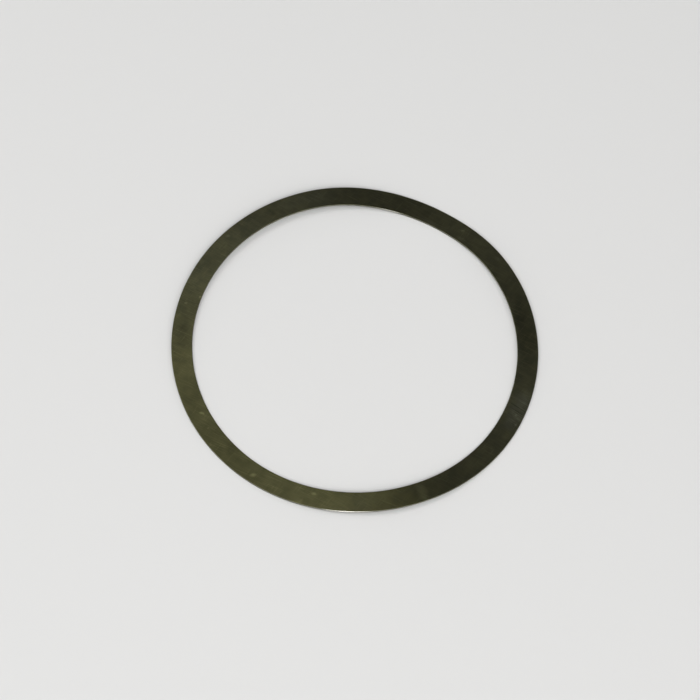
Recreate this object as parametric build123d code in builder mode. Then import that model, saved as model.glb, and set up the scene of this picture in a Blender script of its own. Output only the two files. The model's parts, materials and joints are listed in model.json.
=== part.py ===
from build123d import *
from build123d.topology import SkipClean
from math import cos, pi, radians, sin
import os

# A shim: a thin flat ring cut from spring steel sheet, a little warped by use.
# Millimetres, +Z up. The origin is on the ring's axis, level with the surface that it lies on.
# Angles run anticlockwise from +X, seen from above, and the front is -Y.

# The blank
bore_diameter = 88.6
band_width = 5.7
thickness = 0.5

# The warp: the ring touches the surface at three rests, and lifts to a crest between each two.
right_crest_angle = 38.0
right_crest_lift = 1.1
back_rest_angle = 65.0
back_crest_angle = 110.0
back_crest_lift = 1.75
left_rest_angle = 230.0
front_crest_angle = 288.0
front_crest_lift = 1.1
right_rest_angle = 330.0

# How finely the warp is worked out
station_count = 72

bore_radius = bore_diameter / 2
rim_radius = bore_radius + band_width
station_angle = 360 / station_count

# Each rest and crest as its angle and lift, in order round the ring
warp = sorted(
    [
        (right_crest_angle % 360, right_crest_lift),
        (back_rest_angle % 360, 0.0),
        (back_crest_angle % 360, back_crest_lift),
        (left_rest_angle % 360, 0.0),
        (front_crest_angle % 360, front_crest_lift),
        (right_rest_angle % 360, 0.0),
    ]
)
first_angle, first_lift = warp[0]
stretches = list(zip(warp, warp[1:] + [(first_angle + 360, first_lift)]))
highest_lift = max(lift for angle, lift in warp)


def lift_at(angle):
    """The lower face's height: half a cosine wave from each rest or crest to the next."""
    turned = first_angle + (angle - first_angle) % 360
    for (start, start_lift), (end, end_lift) in stretches:
        if start <= turned < end:
            share = (turned - start) / (end - start)
            return start_lift + (end_lift - start_lift) * (1 - cos(pi * share)) / 2
    return first_lift


def warped_circle(radius):
    """Points at the stations round a circle, each as high as the warp is there."""
    angles = [station * station_angle for station in range(station_count)]
    return [(radius * cos(radians(a)), radius * sin(radians(a)), lift_at(a)) for a in angles]


# The warped sheet, level across its band, and a band's width wider than the ring on each side
with BuildPart() as sheet:
    with BuildLine() as inner_edge:
        Spline(*warped_circle(bore_radius - band_width), periodic=True)
    with BuildLine() as outer_edge:
        Spline(*warped_circle(rim_radius + band_width), periodic=True)
    lower_face = Face.make_surface_from_curves(inner_edge.edge(), outer_edge.edge())
    extrude(lower_face, amount=thickness, dir=(0, 0, 1))

# One sector of the blank, from one station to the next
with BuildSketch() as sector:
    with BuildLine():
        rim_arc = CenterArc((0, 0), rim_radius, 0, station_angle)
        bore_arc = CenterArc((0, 0), bore_radius, 0, station_angle)
        Line(bore_arc @ 0, rim_arc @ 0)
        Line(bore_arc @ 1, rim_arc @ 1)
    make_face()

# The shim is what the sheet shares with a blank that stands a thickness past it at both ends,
# so its bore and rim are true cylinders. They stay divided at the stations, so that each strip
# of wall lies at the warp's own height.
with SkipClean():
    with BuildPart() as shim:
        with BuildSketch(Plane.XY.offset(-thickness)):
            with PolarLocations(0, station_count):
                add(sector.sketch)
        extrude(amount=highest_lift + 3 * thickness)
        add(sheet.part, mode=Mode.INTERSECT)

shim.part.label = "shim"
os.makedirs("parts", exist_ok=True)
export_step(shim.part, "parts/shim.step")
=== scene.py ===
import json
import math

import bmesh
import bpy
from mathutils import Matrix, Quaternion, Vector


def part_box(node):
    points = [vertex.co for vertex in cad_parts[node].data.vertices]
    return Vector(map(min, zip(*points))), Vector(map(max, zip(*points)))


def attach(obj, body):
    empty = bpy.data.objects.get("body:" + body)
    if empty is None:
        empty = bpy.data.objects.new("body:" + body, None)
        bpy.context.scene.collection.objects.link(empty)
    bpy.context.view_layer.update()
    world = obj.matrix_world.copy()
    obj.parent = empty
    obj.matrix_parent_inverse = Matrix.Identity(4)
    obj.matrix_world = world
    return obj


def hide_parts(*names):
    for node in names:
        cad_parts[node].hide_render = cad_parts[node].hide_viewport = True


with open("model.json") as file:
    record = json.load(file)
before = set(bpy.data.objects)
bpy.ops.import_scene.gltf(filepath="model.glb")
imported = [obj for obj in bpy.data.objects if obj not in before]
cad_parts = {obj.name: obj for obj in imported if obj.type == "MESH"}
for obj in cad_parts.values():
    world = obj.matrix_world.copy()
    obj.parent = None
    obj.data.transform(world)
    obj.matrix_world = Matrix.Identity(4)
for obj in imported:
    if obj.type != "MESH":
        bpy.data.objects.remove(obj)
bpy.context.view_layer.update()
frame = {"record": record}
print("frame loaded")

mm = 0.001
hair = 1e-6  # points closer than this lie on the same line
weld = 1e-7  # points closer than this are one point

# the shim as it was punched, and as it has warped since, in millimetres and degrees
shim = {
    "thickness": 0.5,
    "dieRoll": 0.09,  # the punch draws the upper corners down in this radius
    "dieRollSteps": 4,
    "tearLean": 0.02,  # the torn lower third of each wall leans in by this much
    "lowerCorner": 0.02,
    "lowerCornerSteps": 2,
    "tornShare": 1 / 3,  # how much of each wall is torn and not sheared clean
    "steps": 720,  # copies of the section round the ring
    "rows": 11,  # rows of points across each flat face
    "supportRow": 0.04,  # the outermost of them lie this close to the rounded corners
    # where the ring touches the floor and where it stands highest: (angle, lift)
    "warp": [(38, 1.1), (65, 0), (110, 1.75), (230, 0), (288, 1.1), (330, 0)],
    "ripple": 0.03,  # the rolled sheet is this uneven
    "rippleLength": 14,
}

mounts = {mount["name"]: mount for mount in frame["record"]["mounts"]}
boreRadius = mounts["bore"]["dims"]["r_mm"] * mm
rimRadius = mounts["rim"]["dims"]["r_mm"] * mm
bandWidth = rimRadius - boreRadius
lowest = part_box("shim")[0].z
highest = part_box("shim")[1].z


def selectPoints(piece, wanted):
    # picks the points that answer a test, and the edges between them
    bpy.ops.mesh.select_all(action="DESELECT")
    mesh = bmesh.from_edit_mesh(piece.data)
    for point in mesh.verts:
        point.select = wanted(point.co)
    mesh.select_flush_mode()
    bmesh.update_edit_mesh(piece.data)


def drawSection():
    # the section of the band as a bare outline, standing on the +X side
    thickness = shim["thickness"] * mm
    lean = shim["tearLean"] * mm
    middle = Vector(((boreRadius + rimRadius) / 2, 0, lowest + thickness / 2))
    bpy.ops.object.select_all(action="DESELECT")
    bpy.ops.mesh.primitive_plane_add(size=1, location=middle, rotation=(math.pi / 2, 0, 0))
    bpy.ops.object.transform_apply(location=True, rotation=True, scale=True)
    ring = bpy.context.object
    ring.name = "shim_ring"
    bpy.ops.object.mode_set(mode="EDIT")
    bpy.ops.mesh.select_all(action="SELECT")
    bpy.ops.transform.resize(value=(bandWidth, 1, thickness), center_override=middle)
    bpy.ops.mesh.delete(type="ONLY_FACE")
    # each wall is cut in three, because the punch shears the upper two thirds clean
    # and the rest tears and leans in
    for side in (-1, 1):
        selectPoints(ring, lambda co: (co.x - middle.x) * side > 0)
        bpy.ops.mesh.subdivide(number_cuts=2)
    selectPoints(ring, lambda co: co.z < lowest + hair)
    bpy.ops.transform.resize(value=(1 - 2 * lean / bandWidth, 1, 1), center_override=middle)
    bpy.ops.mesh.bevel(offset=shim["lowerCorner"] * mm, segments=shim["lowerCornerSteps"], affect="VERTICES")
    selectPoints(ring, lambda co: co.z > lowest + thickness - hair)
    bpy.ops.mesh.bevel(offset=shim["dieRoll"] * mm, segments=shim["dieRollSteps"], affect="VERTICES")
    # rows of points across the two flat faces, the outermost slid up to the corners
    upperReach = bandWidth / 2 - shim["dieRoll"] * mm
    lowerReach = bandWidth / 2 - lean - shim["lowerCorner"] * mm
    for height, reach in ((lowest + thickness, upperReach), (lowest, lowerReach)):
        selectPoints(ring, lambda co: abs(co.z - height) < hair)
        bpy.ops.mesh.subdivide(number_cuts=shim["rows"])
        row = reach * (1 - 2 / (shim["rows"] + 1))
        selectPoints(ring, lambda co: abs(co.z - height) < hair and abs(abs(co.x - middle.x) - row) < hair)
        slide = (reach - shim["supportRow"] * mm) / row
        bpy.ops.transform.resize(value=(slide, 1, 1), center_override=middle)
    return ring


def spinSection():
    bpy.ops.mesh.select_all(action="SELECT")
    bpy.ops.mesh.spin(steps=shim["steps"], angle=2 * math.pi, center=(0, 0, 0), axis=(0, 0, 1))
    bpy.ops.mesh.select_all(action="SELECT")
    bpy.ops.mesh.remove_doubles(threshold=weld)
    bpy.ops.mesh.normals_make_consistent(inside=False)
    bpy.ops.object.mode_set(mode="OBJECT")


def finishFaces(ring, finishes):
    # while the ring is still flat, each face gets its finish by its place
    for finish in finishes:
        ring.data.materials.append(finish)
    tearLine = lowest + shim["thickness"] * mm * shim["tornShare"]
    level = 0.99  # the corners' faces lean more than this
    for face in ring.data.polygons:
        if face.normal.z > level:
            face.material_index = 0
        elif face.normal.z < -level:
            face.material_index = 1
        elif face.center.z > tearLine:
            face.material_index = 2
        else:
            face.material_index = 3
    bpy.ops.object.shade_smooth()


def liftAt(angle):
    # half a cosine wave from each rest to the next crest
    turns = sorted(shim["warp"])
    turns = [(turns[-1][0] - 360, turns[-1][1])] + turns + [(turns[0][0] + 360, turns[0][1])]
    for (startAngle, startLift), (endAngle, endLift) in zip(turns, turns[1:]):
        if startAngle <= angle <= endAngle:
            share = (1 - math.cos(math.pi * (angle - startAngle) / (endAngle - startAngle))) / 2
            return startLift + (endLift - startLift) * share


def warpRing(ring):
    # every point's lift is kept as a weight, and a displacement follows the weights
    highestLift = max(lift for angle, lift in shim["warp"])
    weights = ring.vertex_groups.new(name="lift")
    for point in ring.data.vertices:
        angle = math.degrees(math.atan2(point.co.y, point.co.x)) % 360
        weights.add([point.index], liftAt(angle) / highestLift, "REPLACE")
    bpy.ops.object.modifier_add(type="DISPLACE")
    warp = ring.modifiers[-1]
    warp.direction = "Z"
    warp.mid_level = 0
    warp.vertex_group = "lift"
    warp.strength = highest - lowest - (shim["thickness"] + shim["ripple"]) * mm
    bpy.ops.object.modifier_apply(modifier=warp.name)
    # the sheet itself was never quite flat
    clouds = bpy.data.textures.new("sheetRipple", "CLOUDS")
    clouds.noise_scale = shim["rippleLength"] * mm
    clouds.noise_depth = 1
    bpy.ops.object.modifier_add(type="DISPLACE")
    ripple = ring.modifiers[-1]
    ripple.texture = clouds
    ripple.direction = "Z"
    ripple.mid_level = 0
    ripple.strength = shim["ripple"] * mm
    bpy.ops.object.modifier_apply(modifier=ripple.name)


# helpers for the shader trees: each adds one node and gives back what it puts out

def addNode(tree, kind, feeds, **settings):
    node = tree.nodes.new("ShaderNode" + kind)
    for setting, value in settings.items():
        setattr(node, setting, value)
    for socket, value in feeds.items():
        if isinstance(value, bpy.types.NodeSocket):
            tree.links.new(value, node.inputs[socket])
        else:
            node.inputs[socket].default_value = value
    return node


def calc(tree, operation, first, second=0.0):
    return addNode(tree, "Math", {0: first, 1: second}, operation=operation).outputs[0]


def addUp(tree, start, shares):
    # start, plus each value times its weight
    total = start
    for value, weight in shares:
        total = calc(tree, "ADD", total, calc(tree, "MULTIPLY", value, weight))
    return total


noiseLow = 0.3  # noise seldom leaves the range between these two
noiseHigh = 0.7
noiseMiddle = 0.5


def noise(tree, vector, scale, detail=2.0):
    return addNode(tree, "TexNoise", {"Vector": vector, "Scale": scale, "Detail": detail}).outputs["Fac"]


def remap(tree, value, low, high, toLow=0.0, toHigh=1.0):
    feeds = {"Value": value, "From Min": low, "From Max": high, "To Min": toLow, "To Max": toHigh}
    return addNode(tree, "MapRange", feeds, interpolation_type="SMOOTHSTEP").outputs["Result"]


def mixColours(tree, share, first, second):
    return addNode(tree, "Mix", {0: share, 6: first, 7: second}, data_type="RGBA").outputs[2]


def layPattern(tree, vector, turn, length, width, place=(0, 0, 0)):
    # turns and sizes a pattern that runs through the whole thickness
    rotation = addNode(tree, "CombineXYZ", {"Z": turn}).outputs[0]
    size = addNode(tree, "CombineXYZ", {"X": length, "Y": width, "Z": 1.0}).outputs[0]
    feeds = {"Vector": vector, "Location": place, "Rotation": rotation, "Scale": size}
    return addNode(tree, "Mapping", feeds, vector_type="TEXTURE").outputs[0]


# effects shared by the finishes, as node groups

def newEffect(name, inputs, output):
    effect = bpy.data.node_groups.new(name, "ShaderNodeTree")
    for socket, kind in inputs.items():
        effect.interface.new_socket(name=socket, in_out="INPUT", socket_type="NodeSocket" + kind)
    effect.interface.new_socket(name=output, in_out="OUTPUT", socket_type="NodeSocketFloat")
    entry = effect.nodes.new("NodeGroupInput").outputs
    return effect, entry, effect.nodes.new("NodeGroupOutput").inputs[output]


def makeLines():
    # parallel drawn lines, as the mill rolls leave them
    inputs = {"Vector": "Vector", "Turn": "Float", "Length": "Float", "Width": "Float"}
    effect, entry, way = newEffect("drawnLines", inputs, "Lines")
    laid = layPattern(effect, entry["Vector"], entry["Turn"], entry["Length"], entry["Width"])
    effect.links.new(noise(effect, laid, 1.0, detail=3), way)
    return effect


def makeScratches():
    # a few hairlines that start and end at random
    inputs = {"Vector": "Vector", "Turn": "Float", "Length": "Float", "Width": "Float", "Rarity": "Float"}
    effect, entry, way = newEffect("hairScratches", inputs, "Scratches")
    laid = layPattern(effect, entry["Vector"], entry["Turn"], entry["Length"], entry["Width"])
    softness = 0.08
    fullMark = calc(effect, "ADD", entry["Rarity"], softness)
    spread = noise(effect, laid, 1.0, detail=0)
    effect.links.new(remap(effect, spread, entry["Rarity"], fullMark), way)
    return effect


def makeSmudges():
    effect, entry, way = newEffect("smudges", {"Vector": "Vector", "Size": "Float"}, "Smudge")
    cloud = noise(effect, entry["Vector"], calc(effect, "DIVIDE", 1.0, entry["Size"]), detail=4)
    effect.links.new(remap(effect, cloud, noiseLow, noiseHigh), way)
    return effect


def makeSpecks():
    # small dots, only some of the cells hold one
    inputs = {"Vector": "Vector", "Spacing": "Float", "Size": "Float", "Share": "Float"}
    effect, entry, way = newEffect("specks", inputs, "Specks")
    cells = addNode(effect, "TexVoronoi", {"Vector": entry["Vector"],
                                           "Scale": calc(effect, "DIVIDE", 1.0, entry["Spacing"])})
    away = calc(effect, "MULTIPLY", cells.outputs["Distance"], entry["Spacing"])
    dot = remap(effect, away, entry["Size"], 0.0)
    kept = calc(effect, "LESS_THAN", cells.outputs["Color"], entry["Share"])
    effect.links.new(calc(effect, "MULTIPLY", dot, kept), way)
    return effect


def makeMark():
    # one long soft-edged mark
    inputs = {"Vector": "Vector", "Place": "Vector", "Turn": "Float", "Length": "Float", "Width": "Float"}
    effect, entry, way = newEffect("singleMark", inputs, "Mark")
    laid = layPattern(effect, entry["Vector"], entry["Turn"], entry["Length"], entry["Width"], entry["Place"])
    away = addNode(effect, "VectorMath", {0: laid}, operation="LENGTH").outputs["Value"]
    wobbles = 1.6  # across the mark's width
    wobbleDepth = 0.6
    reach = 0.6  # in lengths and widths, from the middle to where nothing is left of the mark
    outline = noise(effect, entry["Vector"], calc(effect, "DIVIDE", wobbles, entry["Width"]))
    ragged = addUp(effect, away, [(calc(effect, "SUBTRACT", outline, noiseMiddle), wobbleDepth)])
    effect.links.new(remap(effect, ragged, reach, 0.0), way)
    return effect


def makeEdgeRub():
    # bright where the flat meets the rim and the bore
    inputs = {"Vector": "Vector", "Bore": "Float", "Rim": "Float", "Reach": "Float"}
    effect, entry, way = newEffect("edgeRub", inputs, "Rub")
    flat = addNode(effect, "VectorMath", {0: entry["Vector"], 1: (1, 1, 0)}, operation="MULTIPLY").outputs[0]
    radius = addNode(effect, "VectorMath", {0: flat}, operation="LENGTH").outputs["Value"]
    inner = calc(effect, "SUBTRACT", radius, entry["Bore"])
    outer = calc(effect, "SUBTRACT", entry["Rim"], radius)
    patchesPerMetre = 900
    leastShare = 0.3  # of the reach
    mostShare = 1.3
    patches = noise(effect, entry["Vector"], patchesPerMetre)
    uneven = remap(effect, patches, noiseLow, noiseHigh, leastShare, mostShare)
    reach = calc(effect, "MULTIPLY", entry["Reach"], uneven)
    effect.links.new(remap(effect, calc(effect, "MINIMUM", inner, outer), reach, 0.0), way)
    return effect


effects = {
    "lines": makeLines(),
    "scratches": makeScratches(),
    "smudges": makeSmudges(),
    "specks": makeSpecks(),
    "mark": makeMark(),
    "edgeRub": makeEdgeRub(),
}


def useEffect(tree, name, **feeds):
    return addNode(tree, "Group", feeds, node_tree=effects[name]).outputs[0]


def layLines(tree, vector, turn, length, width):
    return useEffect(tree, "lines", Vector=vector, Turn=math.radians(turn),
                     Length=length * mm, Width=width * mm)


def layScratches(tree, vector, turn, length, width, rarity):
    return useEffect(tree, "scratches", Vector=vector, Turn=math.radians(turn),
                     Length=length * mm, Width=width * mm, Rarity=rarity)


def laySpots(tree, vector, spots):
    # each spot's mask with its strength
    laid = []
    for angle, away, length, width, turn, strength in spots:
        radius = boreRadius + away * mm
        place = (radius * math.cos(math.radians(angle)), radius * math.sin(math.radians(angle)), 0)
        mask = useEffect(tree, "mark", Vector=vector, Place=place, Turn=math.radians(turn),
                         Length=length * mm, Width=width * mm)
        laid.append((mask, strength))
    return addUp(tree, 0.0, laid)


def weigh(tree, start, found, shares):
    # start, plus each pattern times its share
    return addUp(tree, start, [(found[pattern], share) for pattern, share in shares.items()])


def newSteel(name):
    steel = bpy.data.materials.new(name)
    steel.use_nodes = True
    tree = steel.node_tree
    shader = tree.nodes["Principled BSDF"]
    shader.inputs["Metallic"].default_value = 1
    return steel, tree, shader, addNode(tree, "TexCoord", {}).outputs["Object"]


def coverWith(tree, shader, colour, roughness, height, depth):
    tree.links.new(colour, shader.inputs["Base Color"])
    tree.links.new(roughness, shader.inputs["Roughness"])
    bump = addNode(tree, "Bump", {"Height": height, "Distance": depth, "Strength": 1.0})
    tree.links.new(bump.outputs[0], shader.inputs["Normal"])


# the two flat faces, in millimetres and degrees
rolled = {
    # steel under a film of oil, its olive tint partly painted warm reflection, and neutral where it has been
    # wiped bare or shows a painted sheen, each from its darkest to its palest
    "oilAndWarmReflection": ((0.055, 0.0535, 0.025, 1), (0.2, 0.195, 0.091, 1)),
    "bare": ((0.055, 0.0565, 0.037, 1), (0.2, 0.203, 0.137, 1)),
    "turn": -31,  # the way the strip went through the mill
    "underShift": 200,  # the underside takes its pattern from this far off
    # length and width
    "lines": (30, 0.4),
    "fineLines": (9, 0.22),
    # turn, length, width and rarity
    "scratches": [(-19.54, 8, 0.22, 0.67), (57.3, 5, 0.2, 0.69)],
    "cloudSize": 9,
    "hazeSize": 2.4,
    # dots: how far apart, how wide, and the share of the places that holds one
    "specks": (1.9, 0.22, 0.3),
    "rubReach": 0.22,
    # how pale the steel is, how much oil film and painted warm reflection it shows and how rough it is, and
    # what each pattern adds
    "tone": 0.01,
    "toneShares": {"lines": 0.22, "fineLines": 0.16, "sheenLines": 1.6, "clouds": 0.14, "haze": 0.13,
                   "scratches": 0.2, "specks": 0.15, "rub": 0.3, "markedAndReflections": 1.0},
    "filmAndReflectionTint": 0.32,
    "filmAndReflectionTintShares": {"warmReflection": 1.0, "barenessAndSheen": -1.0, "clouds": 0.13, "haze": 0.14},
    "roughness": 0.278,
    "roughShares": {"haze": 0.006, "lines": 0.012, "barenessAndSheen": 0.05},
    "relief": 0.002,
    "reliefShares": {"lines": 1.0, "fineLines": 0.5, "scratches": -0.3, "specks": -0.3},
    # spots are written as angle, distance from the bore, length, width, turn, strength
    # painted reflection: broad warmer olive stretches on the left and front, where the band mirrors warm
    # light
    "warmReflectionPools": [
        (222, 2.8, 190, 110, -50, 0.35),
        (240, 2.8, 150, 75, -40, 0.3),
        (283, 2.8, 44, 20, 13, 0.3),
    ],
    "wipedAndSheen": [
        # the first is a painted sheen, a neutral paler patch near the rim; the rest make the steel more
        # neutral in patches, along the bore and across the band
        (341.5, 3.7, 15.0, 7.5, 70, 0.9),
        (4.0, 0.2, 14.0, 1.4, 94, 0.4),
        (66.0, 0.6, 7.0, 1.6, 155, 0.3),
        (108.0, 2.6, 22.0, 9.0, 15, 0.15),
        (136.0, 2.0, 16.0, 7.0, 46, 0.12),
    ],
    "marksAndReflections": [
        (211.6, 2.0, 1.7, 1.0, 0, 0.7),
        (217.4, 2.7, 0.8, 0.5, 30, 0.4),
        (222.9, 4.9, 0.8, 0.6, 0, 0.3),
        (239.7, 3.5, 2.0, 1.2, 10, 0.7),
        (260.6, 1.8, 1.8, 1.0, -15, 0.6),
        (257.0, 5.0, 2.2, 1.4, 20, 0.25),
        (141.0, 4.2, 1.8, 1.1, 10, 0.35),
        (166.1, 0.5, 1.0, 0.8, 60, 0.7),
        (169.7, 3.6, 1.1, 0.9, 0, 0.4),
        (55.4, 3.6, 1.2, 0.8, 0, 0.6),
        (53.9, 1.2, 3.2, 1.6, -30, 0.3),
        (39.6, 4.2, 2.4, 1.8, -30, 0.25),
        (339.7, 3.5, 0.8, 0.8, 0, 0.4),
        (336.5, 4.6, 1.0, 1.0, 0, 0.4),
        # painted sheen: the pale patch near the rim and its paler and darker streaks, grain lines that catch
        # the light
        (342.0, 3.9, 13.0, 5.5, 70, 0.18),
        (342.8, 2.4, 5.0, 0.5, -31, -0.3),
        (341.2, 2.9, 4.0, 0.4, -31, -0.25),
        (344.6, 4.4, 5.0, 0.6, -31, 0.3),
        (338.6, 4.6, 4.5, 0.6, -31, 0.3),
        # painted reflection: a pale band across the sheet where a slight kink catches the light
        (296.4, 2.8, 9.0, 3.4, -64, 0.35),
        (123.8, 2.6, 5.0, 1.8, -40, -0.14),
        # broad ones: painted reflection, stretches made darker or brighter where the band mirrors a darker or
        # brighter part of the room
        (174.0, 2.8, 36.0, 9.0, 84, -0.15),
        (141.0, 2.8, 22.0, 9.0, 51, -0.07),
        (278.0, 2.8, 15.0, 9.0, 8, 0.16),
        (9.0, 2.8, 28.0, 9.0, 99, -0.26),
        (41.0, 2.8, 20.0, 9.0, -49, 0.1),
        (110.0, 2.8, 22.0, 9.0, 20, 0.1),
    ],
}


def rolledSteel(name, shift, warmReflectionPools, wipedAndSheen, marksAndReflections):
    steel, tree, shader, vector = newSteel(name)
    shifted = {0: vector, 1: (shift * mm, shift * mm, 0)}
    vector = addNode(tree, "VectorMath", shifted, operation="ADD").outputs[0]
    spacing, speckSize, share = rolled["specks"]
    found = {
        "lines": layLines(tree, vector, rolled["turn"], *rolled["lines"]),
        "fineLines": layLines(tree, vector, rolled["turn"], *rolled["fineLines"]),
        "clouds": useEffect(tree, "smudges", Vector=vector, Size=rolled["cloudSize"] * mm),
        "haze": useEffect(tree, "smudges", Vector=vector, Size=rolled["hazeSize"] * mm),
        "specks": useEffect(tree, "specks", Vector=vector, Spacing=spacing * mm,
                            Size=speckSize * mm, Share=share),
        "rub": useEffect(tree, "edgeRub", Vector=vector, Bore=boreRadius, Rim=rimRadius,
                         Reach=rolled["rubReach"] * mm),
        # painted warm reflection on the left and front
        "warmReflection": laySpots(tree, vector, warmReflectionPools),
        # neutral patches, and a painted sheen near the rim
        "barenessAndSheen": laySpots(tree, vector, wipedAndSheen),
        # marks, with painted reflection in the broad stretches and painted sheen at the pale patch
        "markedAndReflections": laySpots(tree, vector, marksAndReflections),
    }
    scratches = [(layScratches(tree, vector, *scratch), 1.0) for scratch in rolled["scratches"]]
    found["scratches"] = addUp(tree, 0.0, scratches)
    # painted sheen: the fine lines show more where the wiped-and-sheen mask is high
    evenLines = calc(tree, "SUBTRACT", found["fineLines"], noiseMiddle)
    found["sheenLines"] = calc(tree, "MULTIPLY", evenLines, found["barenessAndSheen"])
    tone = weigh(tree, rolled["tone"], found, rolled["toneShares"])
    # the film mask leans to the olive colour in the painted warm reflection and to the neutral colour in the
    # painted sheen
    filmAndReflectionTint = weigh(tree, rolled["filmAndReflectionTint"], found, rolled["filmAndReflectionTintShares"])
    bare = mixColours(tree, tone, *rolled["bare"])
    oilAndWarmReflection = mixColours(tree, tone, *rolled["oilAndWarmReflection"])
    colour = mixColours(tree, filmAndReflectionTint, bare, oilAndWarmReflection)
    roughness = weigh(tree, rolled["roughness"], found, rolled["roughShares"])
    height = weigh(tree, 0.0, found, rolled["reliefShares"])
    coverWith(tree, shader, colour, roughness, height, rolled["relief"] * mm)
    return steel


# the punched walls of the bore and the rim, in millimetres and degrees
burnished = {
    "dark": (0.1, 0.1, 0.065, 1),
    "pale": (0.32, 0.32, 0.24, 1),
    # painted highlight colour for the glint stretches
    "glintColour": (0.86, 0.85, 0.76, 1),
    "roughness": 0.28,
    "grit": 0.1,
    # stretches where the punch polished the wall, painted pale as a painted highlight where the near rim and
    # the far bore wall catch the front lamp
    "polishedGlint": [
        (272.0, 5.7, 15.0, 2.6, 2.0, 1.0),
        (81.0, 0.0, 9.0, 2.2, -9, 0.45),
    ],
}

torn = {
    "dark": (0.07, 0.07, 0.05, 1),
    "pale": (0.24, 0.24, 0.18, 1),
    "glintColour": (0.5, 0.5, 0.45, 1),
    "roughness": 0.42,
    "grit": 0.5,
    "polishedGlint": [],
}

# what both parts of the wall share
wall = {
    "strokes": (0, 0.13, 0.13),  # turn, length and width
    "wearSize": 3,
    "grainSize": 0.05,
    "tone": -0.1,
    "toneShares": {"strokes": 0.5, "wear": 0.2, "grit": 1.0},
    "roughShares": {"wear": 0.06, "grit": 0.4},
    "relief": 0.003,
    "reliefShares": {"strokes": 1.0, "grit": 2.0},
}


def shearedSteel(name, finish):
    steel, tree, shader, vector = newSteel(name)
    grain = noise(tree, vector, 1 / (wall["grainSize"] * mm), detail=3)
    found = {
        "strokes": layLines(tree, vector, *wall["strokes"]),
        "wear": useEffect(tree, "smudges", Vector=vector, Size=wall["wearSize"] * mm),
        "grit": calc(tree, "MULTIPLY", grain, finish["grit"]),
    }
    tone = weigh(tree, wall["tone"], found, wall["toneShares"])
    plain = mixColours(tree, tone, finish["dark"], finish["pale"])
    # painted highlight: the polished stretches take the glint colour
    polishGlint = laySpots(tree, vector, finish["polishedGlint"])
    colour = mixColours(tree, polishGlint, plain, finish["glintColour"])
    roughness = weigh(tree, finish["roughness"], found, wall["roughShares"])
    height = weigh(tree, 0.0, found, wall["reliefShares"])
    coverWith(tree, shader, colour, roughness, height, wall["relief"] * mm)
    return steel


# floor, lamps and camera, in metres and degrees
studio = {
    "floorColour": (0.72, 0.72, 0.715, 1),
    "floorRadius": 0.9,
    "floorRoughness": 0.9,
    "floorGloss": 0.2,
    # the room has pale walls and a dim ceiling
    "roomColour": (1.0, 0.99, 0.97, 1),
    "wallStrength": 0.8,
    "ceilingStrength": 0.1,
    "ceilingHeight": 0.85,  # sine of the elevation from which it is all ceiling
    # name, place, size, watts
    "lamps": [
        ("softbox", (-0.573, 0.211, 1.148), 0.9, 5.6),
        ("frontLamp", (-0.05, -0.8, 1.0), 0.3, 4),
        ("fillPanel", (0.5, -1.1, 1.6), 2.2, 24),
    ],
}

# the camera looks down on the ring from the front
view = {
    "elevation": 61.67,
    "roll": 4.99,
    "distance": 0.8,
    "lens": 151.0,
    "aim": (-0.0013, -0.00084, 0.0),
}


def layFloor():
    bpy.ops.object.select_all(action="DESELECT")
    bpy.ops.mesh.primitive_circle_add(vertices=96, radius=studio["floorRadius"], fill_type="NGON",
                                      location=(0, 0, lowest))
    bpy.ops.object.transform_apply(location=True)
    floor = bpy.context.object
    floor.name = "floor"
    paper = bpy.data.materials.new("palePaper")
    paper.use_nodes = True
    shader = paper.node_tree.nodes["Principled BSDF"]
    shader.inputs["Base Color"].default_value = studio["floorColour"]
    shader.inputs["Roughness"].default_value = studio["floorRoughness"]
    shader.inputs["Specular IOR Level"].default_value = studio["floorGloss"]
    floor.data.materials.append(paper)


def hangLamps():
    room = bpy.data.worlds.new("room")
    bpy.context.scene.world = room
    room.use_nodes = True
    tree = room.node_tree
    background = tree.nodes["Background"]
    background.inputs["Color"].default_value = studio["roomColour"]
    direction = addNode(tree, "TexCoord", {}).outputs["Generated"]
    height = addNode(tree, "SeparateXYZ", {0: direction}).outputs["Z"]
    strength = remap(tree, height, 0.0, studio["ceilingHeight"],
                     studio["wallStrength"], studio["ceilingStrength"])
    tree.links.new(strength, background.inputs["Strength"])
    for name, place, size, watts in studio["lamps"]:
        bpy.ops.object.light_add(type="AREA", location=place)
        lamp = bpy.context.object
        lamp.name = name
        lamp.data.size = size
        lamp.data.energy = watts
        lamp.rotation_euler = (-Vector(place)).to_track_quat("-Z", "Y").to_euler()


def placeCamera():
    elevation = math.radians(view["elevation"])
    back = Vector((0, -math.cos(elevation), math.sin(elevation)))
    bpy.ops.object.camera_add(location=Vector(view["aim"]) + back * view["distance"])
    camera = bpy.context.object
    turn = (-back).to_track_quat("-Z", "Y") @ Quaternion((0, 0, 1), math.radians(view["roll"]))
    camera.rotation_euler = turn.to_euler()
    camera.data.lens = view["lens"]
    bpy.context.scene.camera = camera


ring = drawSection()
spinSection()
finishFaces(ring, [
    rolledSteel("rolledSteel", 0, rolled["warmReflectionPools"], rolled["wipedAndSheen"], rolled["marksAndReflections"]),
    rolledSteel("rolledSteelBelow", rolled["underShift"], [], [], []),
    shearedSteel("burnishedEdge", burnished),
    shearedSteel("tornEdge", torn),
])
warpRing(ring)
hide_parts("shim")
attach(ring, "root")
print("shim_ring made:", len(ring.data.polygons), "faces")

layFloor()
hangLamps()
placeCamera()
bpy.context.scene.view_settings.view_transform = "Standard"
print("floor, lamps and camera placed")
